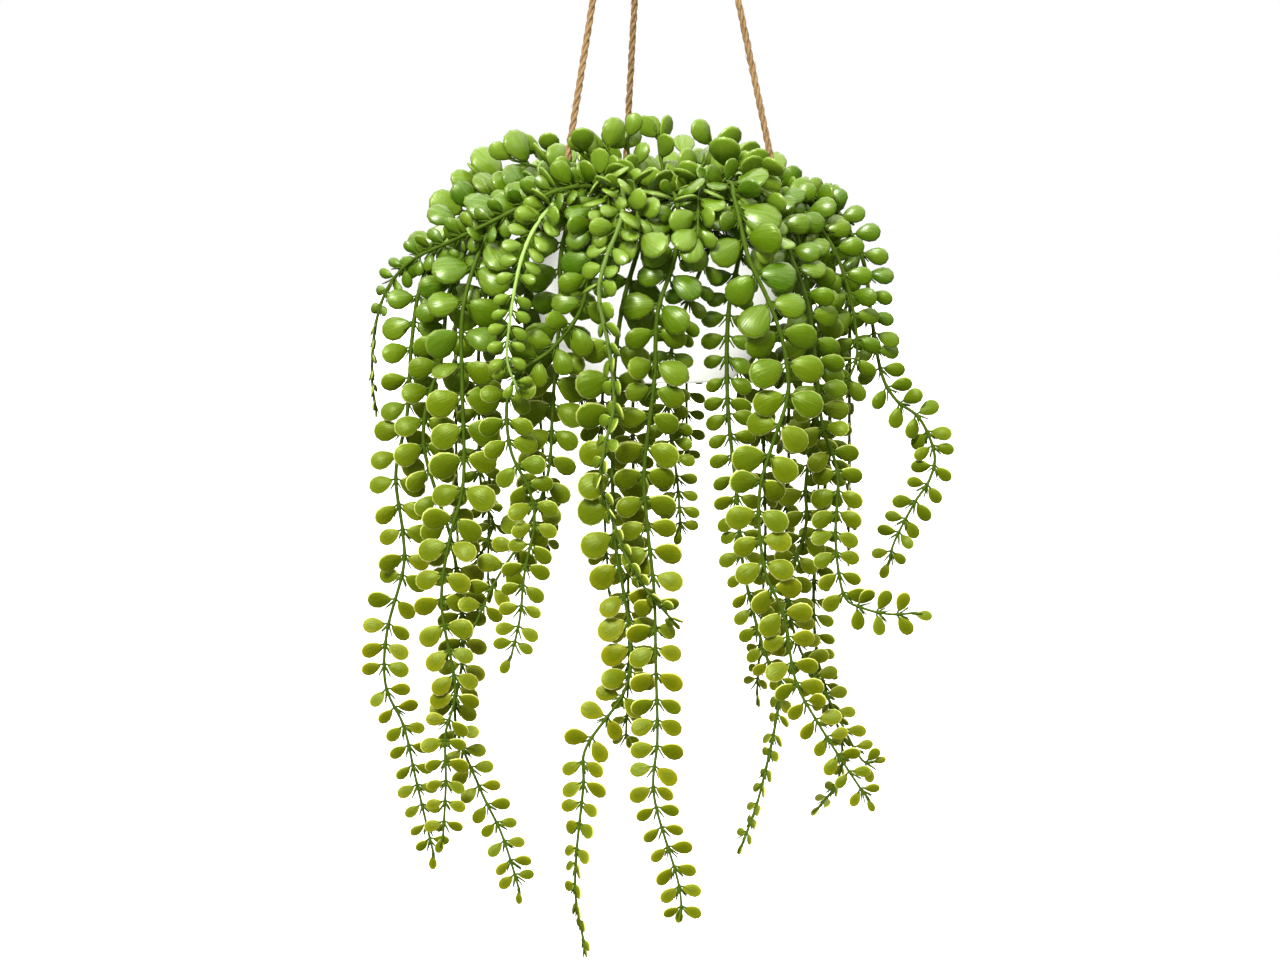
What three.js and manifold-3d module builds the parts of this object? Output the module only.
import * as THREE from 'three';
import { mergeVertices } from 'three/addons/utils/BufferGeometryUtils.js';
import Module from 'manifold-3d';

const wasm = await Module();
wasm.setup();

// A trailing dischidia in a white pot that hangs from three jute cords. Millimetres, +Z up, the
// viewer's side is -Y. Heights are measured from the middle of the rope ring, and the whole plant
// is then lowered so that the origin is where a hook bears in the loop.

const hookHeight = 352;
const jute = 4;
const juteSides = 8;
const gap = 0.3;
const turnSides = 28;

const ropeRadius = 74.2;
const ropeThickness = 7.2;
const ropeSides = 6;
const cordAngles = { right: -17, left: -137, back: 105 };
const cordFoot = { radius: 77, height: 4.7 };
const cordTop = { radius: 9.6, height: 313, tilt: 0.5 };
const cordStep = 3 * jute;
const tie = { radius: 77.6, across: 6.5, out: 6, high: 6.2, drop: 2, sides: [8, 5] };

const knot = { radius: 12, bulge: 1.5, height: 20, neck: 6, widest: 0.3, shoulder: 0.7, sides: 12 };
const loop = { width: 28, foot: 4, pinch: 1, shoulder: 9, seat: 5, steps: 18 };

const pot = {
  bottom: -97.5, base: 46, bowl: [66, -73.5], belly: [75, -39.5],
  neck: 70.7, seat: 2.2, lip: [73.2, 3.7], rim: 8.5, wall: 3.4, corner: 1,
};
const soilTop = 1;
const soilGap = 0.4;
const stemHole = { radius: 3, depth: 8, sides: 4, bottomGap: 1, over: 1 };

// Way points of stems are [across, down, front]: across and down are where the sight line from the
// eye cuts the upright plane through the pot's axis, front is how far before that plane they hang.
const eye = { across: -10, distance: 1992, up: 16 };

const stemDiameter = { start: 2.4, end: 1.1 };
const frameStep = 3;
const rootRise = 6;
const bareTip = 2;
const turnLength = 1 / 6;

// A leaf's petiole, and its width and thickness as shares of its blade's length: a long blade is
// round and a short one a teardrop. Leaves and gaps shrink by this power of the way to the tip.
const petiole = { least: 2.4, share: 0.05 };
const bladeWidth = { least: 0.62, perLength: 0.018, most: 0.95 };
const bladeThickness = 0.12;
const shrink = 1.7;
const thinnestBlade = 1.2;
const bladeOutline = [[0.3, -0.4], [0.72, -0.46], [1, 0], [0.72, 0.46], [0.3, 0.4]];
const bladeCrown = 0.55;
const chance = { size: 0.2, rise: 0.4, lean: 0.5, roll: 0.7 };

// How far leaves keep from leaves and stems, and from the pot, the ring, the ties and the cords
const leafClearance = 0.9;
const bladeClearance = 1 / 6;
const stemRoom = 1.5;
const holderClearance = 1.7;
const tieClearance = 3.7;
const stemClearance = 1.9;

// A leaf is tried at points round its blade, [share of the blade, count], and on its petiole
const sampleRings = [[1, 12], [0.55, 6]];
const petioleSample = 0.6;
const ownFrames = 3;

// Only a pair this far past the last one is solid, and a stem has a ring where it bends this much
const solidSpacing = 46;
const crownSpacing = 20;
const bendPerRing = 0.45;
const leastLeafRoot = 0.8;

// leaf and gap are [at the start, at the tip]: a blade's length, and the way from pair to pair.
// turn is [from which share of its length, degrees] for a stem whose far leaves are seen edge-on.
const frontStems = [
  { name: 'front_far_left', leaf: [11, 6], gap: [10.5, 9], turn: [0.62, 75],
    way: [[-38, -17, 62], [-55, -16, 68], [-73, -9, 70], [-99, 4, 66], [-122, 15, 58],
      [-145, 26, 48], [-159, 41, 42], [-167, 62, 40], [-170, 92, 40], [-168, 116, 40]] },
  { name: 'front_left_outer', leaf: [17, 7.5], gap: [17, 10.5],
    way: [[-68, -13, 18], [-94, -10, 30], [-124, 10, 44], [-140, 40, 50], [-146, 75, 52],
      [-149, 118, 52], [-156, 154, 52], [-152, 190, 52], [-152, 212, 52], [-162, 250, 52],
      [-163, 282, 52], [-152, 308, 52], [-145, 340, 52], [-134, 388, 52]] },
  { name: 'front_left_middle', leaf: [17, 8], gap: [17, 10.5],
    way: [[-66, -13, 28], [-88, -8, 42], [-110, 14, 54], [-124, 48, 60], [-128, 84, 61],
      [-137, 112, 61], [-139, 138, 61], [-131, 168, 60], [-123, 194, 60], [-118, 227, 60],
      [-116, 262, 60], [-121, 304, 60], [-106, 346, 60], [-93, 374, 60], [-82, 410, 60]] },
  { name: 'front_left_long', leaf: [20, 8], gap: [20, 10.5],
    way: [[-63, -13, 40], [-82, -8, 50], [-99, 9, 60], [-110, 34, 68], [-116, 62, 74],
      [-116, 100, 76], [-115, 146, 76], [-117, 168, 76], [-124, 194, 76], [-129, 233, 76],
      [-121, 284, 76], [-127, 312, 76], [-127, 342, 76], [-129, 378, 76]] },
  { name: 'front_left_inner', leaf: [16, 6], gap: [16, 9],
    way: [[-60, -14, 46], [-78, -5, 54], [-92, 20, 60], [-102, 50, 60], [-106, 82, 58],
      [-106, 122, 57], [-106, 149, 57], [-103, 172, 57], [-98, 186, 57], [-109, 210, 57]] },
  { name: 'front_pale_short', leaf: [12, 7], gap: [10.5, 8],
    way: [[-51, -13, 57], [-64, -4, 72], [-75, 12, 86], [-82, 32, 94], [-87, 60, 97],
      [-89, 86, 97], [-82, 105, 97]] },
  { name: 'front_left_arch', leaf: [18, 11], gap: [16, 13],
    way: [[-45, -13, 61], [-52, 3, 71], [-57, 26, 74], [-57, 54, 74], [-60, 88, 73],
      [-62, 118, 73], [-64, 150, 72], [-71, 174, 72], [-82, 196, 72], [-97, 220, 72],
      [-110, 248, 72]] },
  { name: 'front_left_sweep', leaf: [16, 9], gap: [15, 10.5],
    way: [[-34, -12, 68], [-36, 6, 84], [-39, 28, 88], [-45, 56, 88], [-62, 79, 88],
      [-80, 92, 88], [-89, 110, 88], [-87, 140, 88], [-76, 164, 88], [-73, 184, 88],
      [-79, 214, 88], [-82, 242, 88], [-88, 268, 88]] },
  { name: 'front_pale_long', leaf: [12, 8], gap: [11.5, 10], turn: [0.2, 70],
    way: [[-20, -18, 66], [-19, -10, 84], [-22, 6, 98], [-30, 26, 104], [-34, 48, 106],
      [-28, 80, 106], [-25, 112, 106], [-31, 139, 106], [-33, 162, 106], [-26, 182, 106],
      [-17, 206, 106], [-6, 224, 106], [11, 244, 106]] },
  { name: 'front_middle_long', leaf: [20, 7], gap: [20, 9.5], turn: [0.74, 70],
    way: [[-8, -12, 72], [-5, 2, 82], [-13, 28, 86], [-20, 54, 87], [-25, 92, 86],
      [-26, 139, 84], [-25, 190, 84], [-20, 222, 84], [-15, 257, 84], [-19, 286, 84],
      [-42, 320, 84], [-44, 345, 84], [-49, 404, 84], [-43, 444, 84]] },
  { name: 'front_middle', leaf: [17, 9], gap: [17, 11],
    way: [[10, -13, 70], [14, 2, 86], [11, 26, 94], [1, 58, 97], [-1, 98, 97],
      [-7, 152, 97], [-5, 186, 97], [-1, 226, 97], [0, 270, 97], [1, 314, 97],
      [-1, 350, 97], [13, 400, 97], [16, 421, 97]] },
  { name: 'front_round_leaves', leaf: [12, 8], gap: [11, 9.5],
    way: [[34, -14, 62], [39, 1, 74], [29, 26, 84], [15, 62, 85], [8, 88, 84],
      [8, 122, 82], [13, 160, 82], [15, 190, 82]] },
  { name: 'front_right_thin', leaf: [12, 7], gap: [12, 10], turn: [0.66, 70],
    way: [[50, -13, 56], [55, 0, 65], [48, 32, 70], [43, 62, 72], [43, 112, 72],
      [48, 162, 72], [52, 206, 72], [59, 239, 72], [67, 266, 72], [75, 285, 72],
      [64, 344, 72], [52, 381, 72]] },
  { name: 'front_right_long', leaf: [21, 8], gap: [20, 10],
    way: [[42, -20, 62], [47, -9, 78], [55, 24, 90], [67, 50, 94], [76, 76, 95],
      [79, 106, 95], [70, 136, 95], [63, 160, 95], [62, 184, 95], [66, 214, 95],
      [77, 240, 95], [84, 278, 95], [96, 302, 95], [121, 341, 95], [130, 353, 95]] },
  { name: 'front_right_hook', leaf: [15, 10], gap: [14, 11],
    way: [[58, -12, 44], [73, 6, 54], [82, 28, 62], [91, 54, 66], [96, 92, 66],
      [100, 126, 66], [109, 154, 66], [108, 194, 66], [113, 227, 66], [124, 235, 66],
      [141, 239, 66], [158, 238, 66]] },
  { name: 'front_right_inner', leaf: [15, 8], gap: [15, 11],
    way: [[63, -13, 34], [80, 2, 42], [88, 30, 46], [94, 70, 47], [95, 120, 47],
      [90, 160, 47], [90, 186, 47], [80, 224, 47], [86, 258, 47], [106, 294, 47],
      [124, 327, 47], [133, 328, 47]] },
  { name: 'front_right_short', leaf: [15, 11], gap: [14, 12],
    way: [[67, -13, 26], [86, -4, 34], [104, 16, 36], [115, 44, 36], [120, 72, 36],
      [119, 88, 36], [110, 108, 36]] },
  { name: 'front_right_tail', leaf: [11, 7], gap: [11, 10], turn: [0.7, 70],
    way: [[75, -13, 6], [88, 2, 14], [98, 34, 22], [103, 80, 26], [104, 130, 27],
      [100, 176, 27], [95, 222, 27], [98, 268, 27], [112, 316, 27], [110, 340, 27],
      [98, 358, 27]] },
  { name: 'front_far_right', leaf: [13, 9], gap: [12, 11],
    way: [[70, -14, 17], [85, -12, 17], [100, -4, 17], [114, 8, 18], [124, 28, 20],
      [129, 62, 22], [135, 94, 22], [144, 110, 22], [158, 121, 22], [167, 142, 22],
      [164, 158, 22], [155, 172, 22], [143, 196, 22], [140, 210, 22]] },
];

// Stems that the front hides hang from the rim by one rule: [angle, reach, drop, leaf length].
const backStems = [
  [2, 116, 205, 14], [17, 104, 170, 16], [31, 98, 255, 15], [45, 92, 300, 14],
  [59, 98, 110, 17], [73, 92, 150, 15], [84, 104, 100, 16], [95, 90, 330, 14],
  [111, 99, 240, 16], [124, 90, 120, 15], [136, 97, 205, 16], [149, 92, 150, 15],
  [162, 106, 230, 15], [184, 120, 190, 17],
];
const backRim = { radius: 72, height: 13, fall: 3, shoulder: 8 };
const backBend = 45;
const backSway = 5;
const backTip = { leaf: 0.5, gap: 0.75 };
const trailing = { firstPair: 18, rise: 0.28 };

// Roots stand on three circles, and where one is taken they try the steps in turn
const rootRadii = [56, 34, 46];
const rootSteps = [0, -5, -10, 5, -15, 10, -20, 16, -25];
const rootSpacing = 6.6;

// Short stems that stand over the pot or lean over its rim, with pairs swung this way and that
const crownStems = [
  { name: 'crown_left_high', leaf: [18, 17], way: [[-46, -16, 28], [-66, -27, 30], [-88, -34, 32]] },
  { name: 'crown_left_stalk', leaf: [14, 16], way: [[-36, -22, 8], [-56, -34, 10], [-71, -38, 12]] },
  { name: 'crown_left_low', leaf: [18, 19], way: [[-62, -18, 4], [-86, -23, 12], [-108, -20, 18]] },
  { name: 'crown_left_end', leaf: [18, 20], way: [[-66, -17, -8], [-98, -12, -2], [-123, 5, 6]] },
  { name: 'crown_left_front', leaf: [18, 17], way: [[-30, -20, 36], [-38, -31, 44], [-46, -38, 50]] },
  { name: 'crown_cord_foot', leaf: [16, 15], way: [[-41, -15, 48], [-53, -24, 57]] },
  { name: 'crown_middle_left', leaf: [16, 16], way: [[-20, -22, 20], [-27, -35, 24], [-30, -42, 25]] },
  { name: 'crown_middle_tall', leaf: [15, 14], way: [[-12, -24, 10], [-17, -40, 8], [-17, -49, 8]] },
  { name: 'crown_middle_back', leaf: [14, 14], way: [[4, -26, -8], [2, -38, -11], [1, -49, -12]] },
  { name: 'crown_right_tall', leaf: [16, 17], way: [[24, -24, 4], [31, -36, 2], [34, -44, 2]] },
  { name: 'crown_right_front', leaf: [20, 20], way: [[34, -20, 32], [46, -31, 42]] },
  { name: 'crown_right_shoulder', leaf: [20, 19], way: [[50, -16, 30], [60, -22, 45], [64, -27, 56]] },
  { name: 'crown_front_right', leaf: [18, 17], way: [[20, -16, 44], [26, -20, 60], [28, -24, 68]] },
  { name: 'crown_back_right', leaf: [18, 17], way: [[44, -22, -28], [58, -32, -42]] },
  { name: 'crown_back_middle', leaf: [18, 17], way: [[14, -24, -40], [18, -37, -56]] },
  { name: 'crown_back_left', leaf: [18, 17], way: [[-24, -24, -36], [-34, -36, -52]] },
  { name: 'crown_rim_left', leaf: [15, 16],
    way: [[-32, -24, 54], [-28, -15, 78], [-29, -2, 94], [-30, 9, 98]] },
  { name: 'crown_rim_middle', leaf: [15, 17],
    way: [[-13, -20, 62], [-12, -13, 82], [-11, 2, 97], [-10, 14, 103]] },
  { name: 'crown_rim_right', leaf: [17, 18],
    way: [[27, -18, 60], [25, -12, 78], [25, 2, 92], [25, 13, 99]] },
  { name: 'crown_rim_end', leaf: [17, 19],
    way: [[54, -20, 46], [61, -13, 62], [66, 3, 76], [68, 14, 82]] },
];
const crown = { root: 0.5, gap: 12, firstPair: 10, rise: 0.8, swing: 0.6 };

const colours = {
  pot: { color: 0xf1f0ec, roughness: 0.45 },
  soil: { color: 0x3a2a1c, roughness: 1 },
  jute: { color: 0xbe966e, roughness: 0.95 },
  leaf: { color: 0x6c8c14, roughness: 0.4 },
};

// Shapes

function polar(radius, degrees, height) {
  const angle = THREE.MathUtils.degToRad(degrees);
  return new THREE.Vector3(radius * Math.cos(angle), radius * Math.sin(angle), height);
}

function turned(outline, sides = turnSides) {
  const points = outline.map(([radius, height]) => new THREE.Vector2(radius, height));
  return new THREE.LatheGeometry(points, sides).rotateX(Math.PI / 2);
}

function alongPath(path, diameter, sides, steps) {
  const section = new THREE.Shape();
  for (let i = 0; i < sides; i++) {
    const angle = (2 * Math.PI * i) / sides;
    const x = (diameter / 2) * Math.cos(angle);
    const y = (diameter / 2) * Math.sin(angle);
    if (i === 0) section.moveTo(x, y);
    else section.lineTo(x, y);
  }
  return new THREE.ExtrudeGeometry(section, { steps, extrudePath: path });
}

function toSolid(geometry) {
  const bare = geometry.clone();
  bare.deleteAttribute('normal');
  bare.deleteAttribute('uv');
  const merged = mergeVertices(bare, 1e-4);
  return new wasm.Manifold(new wasm.Mesh({
    numProp: 3,
    vertProperties: new Float32Array(merged.attributes.position.array),
    triVerts: new Uint32Array(merged.index.array),
  }));
}

function fromSolid(solid) {
  const mesh = solid.getMesh();
  const geometry = new THREE.BufferGeometry();
  geometry.setAttribute('position', new THREE.BufferAttribute(mesh.vertProperties, 3));
  geometry.setIndex(new THREE.BufferAttribute(mesh.triVerts, 1));
  geometry.computeVertexNormals();
  return geometry;
}

const plant = new THREE.Group();
plant.position.z = -hookHeight;

function addPart(name, geometry, look) {
  const mesh = new THREE.Mesh(geometry, new THREE.MeshStandardMaterial({ metalness: 0, ...look }));
  mesh.name = name;
  plant.add(mesh);
}

// Pot: a round belly under a narrow neck that the rope ring sits in, and a lip that rests on it

const neckFoot = -ropeThickness / 2 - gap;
const potOutside = [
  [pot.base, pot.bottom], pot.bowl, pot.belly, [pot.neck, neckFoot], [pot.neck, pot.seat],
  pot.lip, [pot.lip[0], pot.rim],
];

function outsideRadius(height) {
  for (let i = 1; i < potOutside.length; i++) {
    const [r0, z0] = potOutside[i - 1];
    const [r1, z1] = potOutside[i];
    if (height <= z1 && z1 > z0) return r0 + ((r1 - r0) * Math.max(height - z0, 0)) / (z1 - z0);
  }
  return pot.lip[0];
}

// The hollow inside the walls, its mouth first, drawn in by a margin for what fills it
function potHollow(mouth, margin) {
  const inset = pot.wall + margin;
  return [
    [pot.neck - inset, mouth], [pot.neck - inset, neckFoot], [pot.belly[0] - inset, pot.belly[1]],
    [pot.bowl[0] - inset, pot.bowl[1] + pot.corner],
    [pot.base - pot.corner - margin, pot.bottom + inset],
    [0, pot.bottom + inset],
  ];
}
addPart('pot', turned([[0, pot.bottom], ...potOutside, ...potHollow(pot.rim, 0)]), colours.pot);

// Rope ring with the three lumps where the cords are tied round it

const ropeSection = [];
for (let i = 0; i <= ropeSides; i++) {
  const angle = (Math.PI * (2 * (i % ropeSides) + 1)) / ropeSides;
  ropeSection.push([
    ropeRadius + (ropeThickness / 2) * Math.cos(angle), (ropeThickness / 2) * Math.sin(angle)]);
}
let rope = toSolid(turned(ropeSection));
for (const angle of Object.values(cordAngles)) {
  const lump = new THREE.SphereGeometry(1, ...tie.sides).rotateX(Math.PI / 2);
  lump.scale(tie.out, tie.across, tie.high);
  lump.translate(tie.radius, 0, -tie.drop);
  lump.rotateZ(THREE.MathUtils.degToRad(angle));
  rope = rope.add(toSolid(lump));
}
addPart('rope_ring', fromSolid(rope), colours.jute);

// Cords, taut from the ring to the knot

const cords = {};
for (const [side, angle] of Object.entries(cordAngles)) {
  const foot = polar(cordFoot.radius, angle, cordFoot.height);
  const top = polar(cordTop.radius, angle, cordTop.height);
  const steps = Math.round(foot.distanceTo(top) / cordStep);
  cords[side] = [foot, top];
  const line = new THREE.LineCurve3(foot, top);
  addPart(`cord_${side}`, alongPath(line, jute, juteSides, steps), colours.jute);
}

// Knot, and the loop that the cords' ends make above it

const knotFoot = cordTop.height + cordTop.tilt + gap;
const knotTop = knotFoot + knot.height;
const knotBody = turned([
  [0, knotFoot], [knot.radius, knotFoot],
  [knot.radius + knot.bulge, knotFoot + knot.height * knot.widest],
  [knot.radius, knotFoot + knot.height * knot.shoulder],
  [knot.neck, knotTop], [0, knotTop],
], knot.sides);
const loopTop = hookHeight + jute / 2;
const loopHalf = (loop.width - jute) / 2;
const loopEnd = loop.foot - loop.pinch;
const loopPath = new THREE.CatmullRomCurve3([
  [-loopEnd, knotTop - loop.seat], [-loop.foot, knotTop], [-loopHalf, loopTop - loop.shoulder],
  [0, loopTop],
  [loopHalf, loopTop - loop.shoulder], [loop.foot, knotTop], [loopEnd, knotTop - loop.seat],
].map(([x, z]) => new THREE.Vector3(x, 0, z)));
const loopRope = alongPath(loopPath, jute, juteSides, loop.steps);
addPart('hanging_loop', fromSolid(toSolid(knotBody).add(toSolid(loopRope))), colours.jute);

// Stems: the same draw of numbers on every run

function drawFrom(seed) {
  let state = seed;
  return () => {
    state = (state + 0x6d2b79f5) | 0;
    let t = Math.imul(state ^ (state >>> 15), 1 | state);
    t = (t + Math.imul(t ^ (t >>> 7), 61 | t)) ^ t;
    return ((t ^ (t >>> 14)) >>> 0) / 4294967296;
  };
}

function wayPoint([across, down, front]) {
  const near = 1 - front / eye.distance;
  return new THREE.Vector3(
    eye.across + (across - eye.across) * near, -front, eye.up + (-down - eye.up) * near);
}

function backWay([angle, reach, drop], draw) {
  const { radius, height, fall, shoulder } = backRim;
  const points = [
    polar(radius, angle, height), polar((radius + reach) / 2, angle, height - fall)];
  const bends = Math.max(3, Math.round(drop / backBend));
  let sway = 0;
  for (let i = 0; i < bends; i++) {
    const down = THREE.MathUtils.lerp(shoulder, drop, i / (bends - 1));
    sway += (draw() - 0.5) * 2 * backSway;
    points.push(polar(reach, angle + THREE.MathUtils.radToDeg(sway / reach), -down));
  }
  return points;
}

// A root stands under the stem's first way point, as far out as leaves the other roots room
const roots = [];

function placeRoot(first, radius) {
  const root = rootSteps
    .map((step) => new THREE.Vector3(first.x, first.y, 0).setLength(radius + step).setZ(soilTop))
    .find((place) => roots.every((other) => other.distanceTo(place) > rootSpacing));
  roots.push(root);
  return root;
}

// A stem as a row of frames: where it is, its direction, its leaves' side and their outward face
function layStem(spec, index) {
  const draw = drawFrom(101 + index);
  const way = spec.back ? backWay(spec.back, draw) : spec.way.map(wayPoint);
  const root = placeRoot(way[0], spec.rootRadius);
  const rise = root.clone().setZ(soilTop + rootRise);
  const curve = new THREE.CatmullRomCurve3([root, rise, ...way], false, 'catmullrom', 0.5);
  const count = Math.round(curve.getLength() / frameStep);
  const { tangents, normals, binormals } = curve.computeFrenetFrames(count, false);
  const at = Math.round(count * (spec.crown ? 1 : 0.5));
  const behind = spec.crown && way[0].y > 0;
  const facing = spec.back ? polar(1, spec.back[0], 0) : new THREE.Vector3(0, behind ? 1 : -1, 0);
  const roll = Math.atan2(facing.dot(binormals[at]), facing.dot(normals[at]));
  const frames = tangents.map((along, i) => {
    const share = i / count;
    const turn = spec.turn && share > spec.turn[0]
      ? THREE.MathUtils.degToRad(spec.turn[1]) * Math.min(1, (share - spec.turn[0]) / turnLength)
      : 0;
    const face = normals[i].clone().multiplyScalar(Math.cos(roll + turn))
      .addScaledVector(binormals[i], Math.sin(roll + turn));
    const side = new THREE.Vector3().crossVectors(along, face);
    const half = THREE.MathUtils.lerp(stemDiameter.start, stemDiameter.end, share) / 2;
    return { at: curve.getPointAt(share), along, face, side, half };
  });
  return { spec, draw, frames, step: curve.getLength() / count };
}

// Where the pairs sit along a stem, and which of them the solid keeps
function placePairs(stem) {
  const { spec, frames, step } = stem;
  const length = step * (frames.length - 1);
  const spacing = spec.crown ? crownSpacing : solidSpacing;
  const pairs = [];
  let along = (spec.crown ? crown : trailing).firstPair;
  let lastKept = -spacing;
  while (along < length - bareTip) {
    const share = (along / length) ** shrink;
    const size = THREE.MathUtils.lerp(spec.leaf[0], spec.leaf[1], share);
    const kept = along - lastKept >= spacing;
    if (kept) lastKept = along;
    pairs.push({ index: Math.round(along / step), size, kept, leaves: [] });
    along += THREE.MathUtils.lerp(spec.gap[0], spec.gap[1], share);
  }
  return pairs;
}

// A leaf that finds its place taken leans, rolls or shrinks: [lean, roll, scale]
const tries = [
  [0, 0, 1], [0.35, 0, 1], [-0.35, 0, 1], [0.7, 0.3, 0.95], [-0.7, -0.3, 0.95],
  [0.2, 0.9, 0.85], [-0.2, -0.9, 0.85], [0.5, 0, 0.7], [-0.5, 0, 0.7], [0, 0.6, 0.6],
];

function shapeLeaf(frame, sideSign, size, random, [lean, rolled, scale], swing, rise) {
  const blade = size * scale * (1 + (random[0] - 0.5) * chance.size);
  const across = frame.side.clone().applyAxisAngle(frame.along, swing);
  const front = frame.face.clone().applyAxisAngle(frame.along, swing);
  const outward = across.clone().multiplyScalar(sideSign)
    .addScaledVector(frame.along, rise + chance.rise * random[1])
    .addScaledVector(front, (random[2] - 0.5) * chance.lean + lean).normalize();
  const face = front.clone().addScaledVector(outward, -front.dot(outward)).normalize()
    .applyAxisAngle(outward, (random[3] - 0.5) * chance.roll + rolled);
  const cross = new THREE.Vector3().crossVectors(face, outward).multiplyScalar(sideSign);
  const root = frame.at.clone().addScaledVector(frame.side, sideSign * frame.half);
  const stalk = petiole.least + petiole.share * blade;
  const width = blade * Math.min(bladeWidth.least + bladeWidth.perLength * blade, bladeWidth.most);
  const thick = Math.max(bladeThickness * blade, thinnestBlade);
  const middle = root.clone().addScaledVector(outward, stalk + blade / 2);
  return { root, outward, face, cross, stalk, blade, width, thick, middle, sideSign };
}

function leafPoint(leaf, along, across, up = 0) {
  return leaf.root.clone().addScaledVector(leaf.outward, along)
    .addScaledVector(leaf.cross, across).addScaledVector(leaf.face, up);
}

function leafSamples(leaf) {
  const samples = [leafPoint(leaf, leaf.stalk * petioleSample, 0), leaf.middle.clone()];
  for (const [share, count] of sampleRings) {
    for (let i = 0; i < count; i++) {
      const angle = (2 * Math.PI * i) / count;
      samples.push(leafPoint(leaf,
        leaf.stalk + (leaf.blade / 2) * (1 + share * Math.cos(angle)),
        (leaf.width / 2) * share * Math.sin(angle)));
    }
  }
  return samples;
}

function insideLeaf(leaf, point, margin) {
  const away = point.clone().sub(leaf.middle);
  const u = away.dot(leaf.outward) / (leaf.blade / 2 + margin);
  const v = away.dot(leaf.cross) / (leaf.width / 2 + margin);
  const round = u * u + v * v;
  return round < 1 && Math.abs(away.dot(leaf.face)) < (leaf.thick / 2) * (1 - round) + margin;
}

function distanceToCord(point, [foot, top]) {
  const line = new THREE.Line3(foot, top);
  return line.closestPointToPoint(point, true, new THREE.Vector3()).distanceTo(point);
}

// Whether a point is nearer than the clearance to the pot, the ring, its tied lumps or a cord
function inHolder(point) {
  const radius = Math.hypot(point.x, point.y);
  const overSoil = radius < pot.neck - pot.wall - holderClearance
    && point.z > soilTop + holderClearance;
  const ring = Math.abs(point.z) < ropeThickness ? ropeRadius + ropeThickness / 2 : 0;
  const outside = radius > Math.max(outsideRadius(point.z), ring) + holderClearance;
  if (point.z < pot.rim + holderClearance && !overSoil && !outside) return true;
  return Object.values(cords).some((cord) =>
    distanceToCord(point, cord) < jute / 2 + holderClearance
    || cord[0].distanceTo(point) < tie.across + tieClearance);
}

function fits(leaf, stem, frameIndex, stems, leaves) {
  const samples = leafSamples(leaf);
  const reach = leaf.blade / 2 + leaf.stalk;
  if (samples.some(inHolder)) return false;
  for (const other of leaves) {
    const otherReach = other.blade / 2 + other.stalk;
    if (other.middle.distanceTo(leaf.middle) > reach + otherReach + stemDiameter.start) continue;
    const margin = leafClearance + (leaf.thick + other.thick) * bladeClearance;
    if (samples.some((point) => insideLeaf(other, point, margin))) return false;
    if (other.samples.some((point) => insideLeaf(leaf, point, margin))) return false;
  }
  for (const other of stems) {
    const own = other === stem;
    for (const [i, frame] of other.frames.entries()) {
      if (own && Math.abs(i - frameIndex) < ownFrames) continue;
      if (frame.at.distanceTo(leaf.middle) > reach + 2 * stemDiameter.start) continue;
      if (insideLeaf(leaf, frame.at, frame.half * stemRoom + leafClearance)) return false;
      if (!own && samples[0].distanceTo(frame.at) < frame.half + stemClearance) return false;
    }
  }
  leaf.samples = samples;
  return true;
}

function growLeaves(stem, stems, leaves) {
  const { rise } = stem.spec.crown ? crown : trailing;
  stem.pairs = placePairs(stem);
  for (const [order, pair] of stem.pairs.entries()) {
    const swing = stem.spec.crown ? crown.swing * (order % 2 ? 1 : -1) : 0;
    for (const sideSign of [1, -1]) {
      const random = [stem.draw(), stem.draw(), stem.draw(), stem.draw()];
      const frame = stem.frames[pair.index];
      const found = tries
        .map((change) => shapeLeaf(frame, sideSign, pair.size, random, change, swing, rise))
        .find((leaf) => fits(leaf, stem, pair.index, stems, leaves));
      if (!found) continue;
      leaves.push(found);
      pair.leaves.push(found);
    }
  }
}

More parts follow.
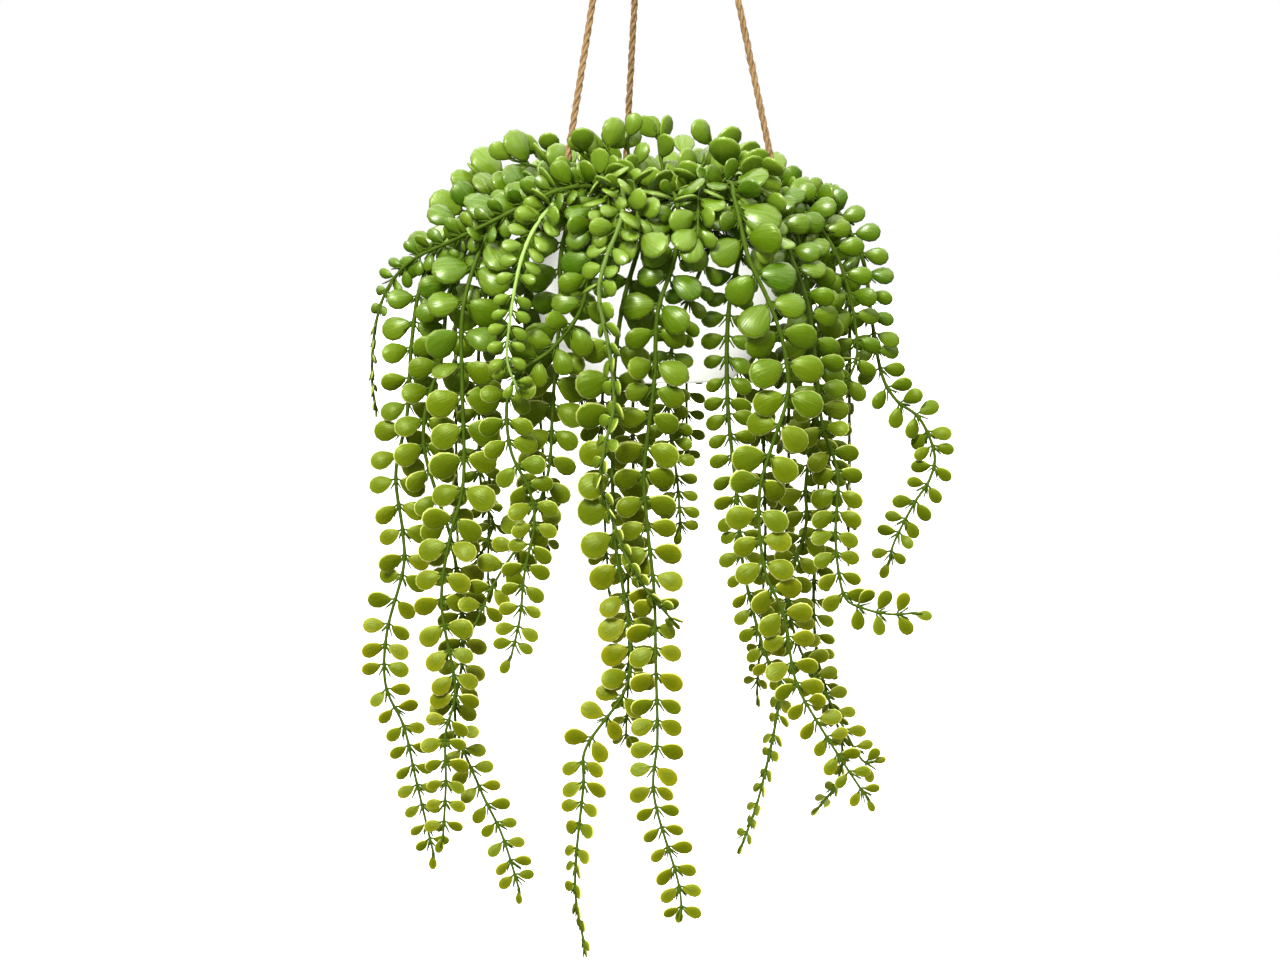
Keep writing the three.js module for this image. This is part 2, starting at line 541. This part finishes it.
// A stem's mesh: square rings joined in a row, with each leaf drawn out of a ring pair's side wall
function buildStem({ frames, pairs }) {
  const positions = [];
  const indices = [];

  function addPoint(point) {
    positions.push(point.x, point.y, point.z);
    return positions.length / 3 - 1;
  }

  function addFace(...corners) {
    for (let i = 2; i < corners.length; i++) indices.push(corners[0], corners[i - 1], corners[i]);
  }

  function addFan(peak, outline) {
    outline.forEach((point, i) => addFace(peak, point, outline[(i + 1) % outline.length]));
  }

  function addRing(frame, shift = 0) {
    return [[1, 1], [1, -1], [-1, -1], [-1, 1]].map(([side, front]) => addPoint(
      frame.at.clone().addScaledVector(frame.along, shift)
        .addScaledVector(frame.side, side * frame.half)
        .addScaledVector(frame.face, front * frame.half)));
  }

  // Walls of a length of stem: 0 is the side direction's, 1 the back, 2 the other side, 3 the face
  function addWalls(low, high, openWalls = []) {
    for (let wall = 0; wall < 4; wall++) {
      const next = (wall + 1) % 4;
      if (!openWalls.includes(wall)) addFace(low[wall], low[next], high[next], high[wall]);
    }
  }

  function addLeaf(leaf, low, high, wall) {
    const next = (wall + 1) % 4;
    const rim = bladeOutline.map(([along, across]) =>
      addPoint(leafPoint(leaf, leaf.stalk + along * leaf.blade, across * leaf.width)));
    const [peak, under] = [0.5, -0.5].map((up) =>
      addPoint(leafPoint(leaf, leaf.stalk + bladeCrown * leaf.blade, 0, up * leaf.thick)));
    const mirrored = leaf.sideSign < 0;
    addFan(mirrored ? under : peak, [low[wall], ...rim, high[wall]]);
    addFan(mirrored ? peak : under, [high[next], ...rim.reverse(), low[next]]);
    addFace(low[wall], low[next], rim[4]);
    addFace(high[next], high[wall], rim[0]);
  }

  const base = frames[0];
  const footHeight = soilTop - stemHole.depth + stemHole.bottomGap;
  const foot = { ...base, at: base.at.clone().setZ(footHeight) };
  let last = addRing(foot);
  addFace(...[...last].reverse());
  let lastAlong = base.along;
  const kept = new Map(pairs.filter((pair) => pair.kept).map((pair) => [pair.index, pair]));
  frames.slice(0, -1).forEach((frame, i) => {
    const pair = kept.get(i);
    if (pair) {
      const half = Math.max(leastLeafRoot, frame.half);
      const low = addRing(frame, -half);
      const high = addRing(frame, half);
      const walls = pair.leaves.map(({ sideSign }) => 1 - sideSign);
      addWalls(last, low);
      addWalls(low, high, walls);
      pair.leaves.forEach((leaf, k) => addLeaf(leaf, low, high, walls[k]));
      last = high;
      lastAlong = frame.along;
    } else if (i === 0 || frame.along.angleTo(lastAlong) > bendPerRing) {
      const ring = addRing(frame);
      addWalls(last, ring);
      last = ring;
      lastAlong = frame.along;
    }
  });
  const tip = addPoint(frames[frames.length - 1].at);
  last.forEach((corner, i) => addFace(corner, last[(i + 1) % 4], tip));

  const geometry = new THREE.BufferGeometry();
  geometry.setAttribute('position', new THREE.Float32BufferAttribute(positions, 3));
  geometry.setIndex(indices);
  geometry.computeVertexNormals();
  return geometry;
}

// Every stem is laid before the first leaf grows, so that leaves keep clear of stems too

const specs = [
  ...frontStems,
  ...backStems.map(([angle, reach, drop, leaf]) => ({
    name: `back_${String(angle).padStart(3, '0')}`,
    back: [angle, reach, drop],
    leaf: [leaf, leaf * backTip.leaf],
    gap: [leaf, leaf * backTip.gap],
  })),
].map((spec, i) => ({ ...spec, rootRadius: rootRadii[i % 3] }));
const crownSpecs = crownStems.map((spec) => ({
  ...spec,
  crown: true,
  gap: [crown.gap, crown.gap],
  rootRadius: crown.root * Math.hypot(spec.way[0][0], spec.way[0][2]),
}));
const stems = [...specs, ...crownSpecs].map(layStem);
const leaves = [];
for (const stem of stems) growLeaves(stem, stems, leaves);
for (const stem of stems) addPart(`stem_${stem.spec.name}`, buildStem(stem), colours.leaf);

// Soil, with a plain hole for each stem

let soil = toSolid(turned([...potHollow(soilTop, soilGap).reverse(), [0, soilTop]]));
for (const { frames } of stems) {
  const { radius, depth, sides, over } = stemHole;
  const hole = new THREE.CylinderGeometry(radius, radius, depth + over, sides).rotateX(Math.PI / 2);
  hole.translate(frames[0].at.x, frames[0].at.y, soilTop + (over - depth) / 2);
  soil = soil.subtract(toSolid(hole));
}
addPart('potting_soil', fromSolid(soil), colours.soil);

export default plant;
